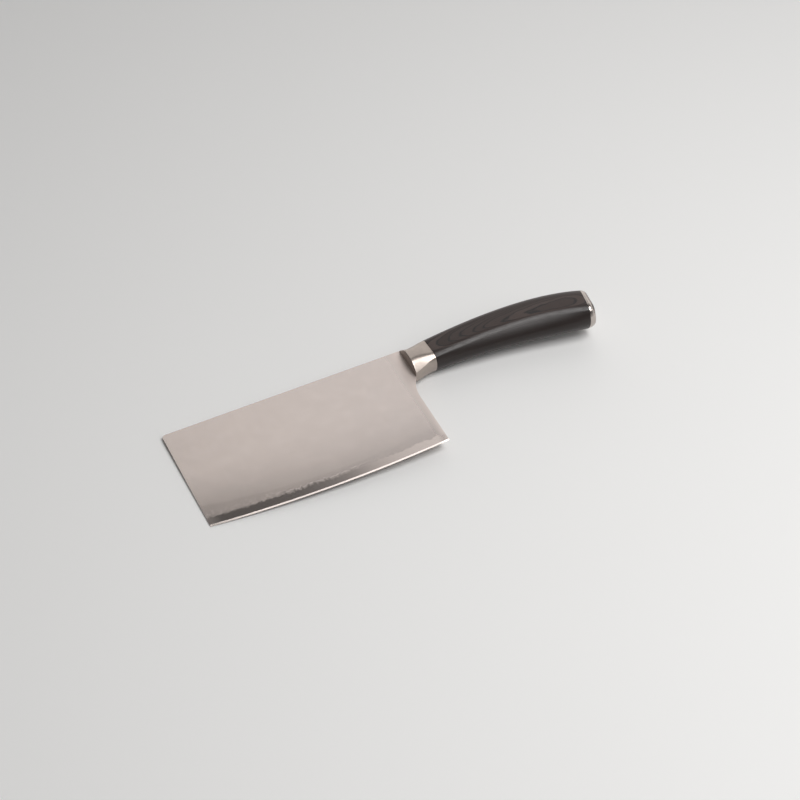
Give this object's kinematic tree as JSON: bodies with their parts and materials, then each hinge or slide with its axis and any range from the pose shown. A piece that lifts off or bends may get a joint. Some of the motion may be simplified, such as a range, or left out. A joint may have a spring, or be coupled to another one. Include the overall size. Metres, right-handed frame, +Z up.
{
  "type": "cleaver",
  "caption": "Kitchen cleaver with a wide clad steel blade, a steel bolster, a dark laminated wood grip and a domed steel end cap.",
  "frame": {"origin": "centre of the bounding box in X and Y, at its lowest point in Z, with the cleaver lying on its right side", "axes": "+X along the spine from the tip of the blade to the butt, +Y from the cutting edge towards the spine, +Z up"},
  "size_m": [0.295, 0.0864, 0.0257],
  "materials": {
    "core_steel": "fine satin, darker than the cladding",
    "clad_steel": "fine satin",
    "bolster_steel": "bright satin",
    "rod_steel": "turned",
    "laminated_wood": "charcoal, resin filled, polished to a soft sheen",
    "epoxy": "set resin",
    "cap_steel": "polished"
  },
  "bodies": {
    "root": {"blade_core": "core_steel", "cladding_left": "clad_steel", "cladding_right": "clad_steel", "bolster": "bolster_steel", "tang_rod": "rod_steel", "grip": "laminated_wood", "grip_adhesive": "epoxy", "end_cap": "cap_steel"}
  },
  "joints": []
}
